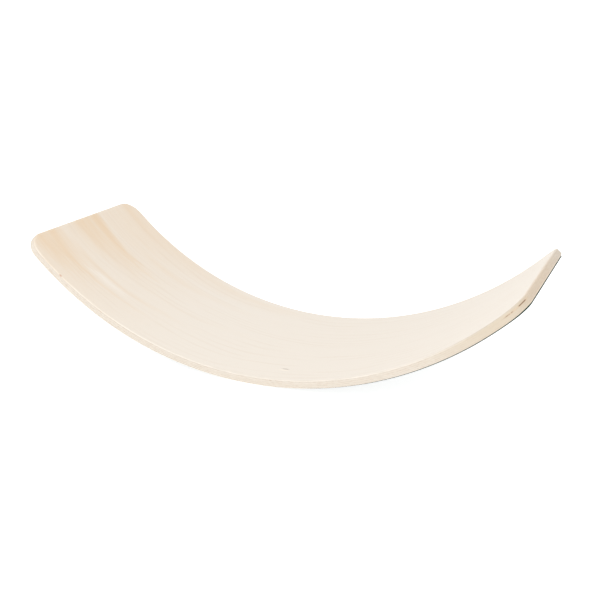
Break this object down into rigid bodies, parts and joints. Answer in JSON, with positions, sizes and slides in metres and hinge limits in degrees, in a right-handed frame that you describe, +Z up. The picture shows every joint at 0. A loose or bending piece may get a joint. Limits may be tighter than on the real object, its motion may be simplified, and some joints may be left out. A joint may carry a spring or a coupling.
{
  "type": "curved balance board",
  "caption": "Curved laminated wood board, hollow side up, that rocks lengthways on a felt-soled round underside; it is stood, sat or lain on, or turned over as a low bridge.",
  "frame": {"origin": "on the floor, under the middle of the board, where the round underside touches it", "axes": "+X along the length, +Y across the width, +Z up out of the hollow side"},
  "size_m": [0.7976, 0.3, 0.1853],
  "materials": {
    "long_grain_wood": "pale veneer, grain along the board, clear matt lacquer",
    "cross_grain_wood": "pale veneer, grain across the board, seen as end grain on the long edges",
    "green_felt": "thin dense felt, very dark green"
  },
  "bodies": {
    "root": {"face_veneer": "long_grain_wood", "cross_veneer_1": "cross_grain_wood", "long_veneer_1": "long_grain_wood", "cross_veneer_2": "cross_grain_wood", "long_veneer_2": "long_grain_wood", "cross_veneer_3": "cross_grain_wood", "long_veneer_3": "long_grain_wood", "cross_veneer_4": "cross_grain_wood", "back_veneer": "long_grain_wood", "felt_sole": "green_felt"}
  },
  "joints": []
}
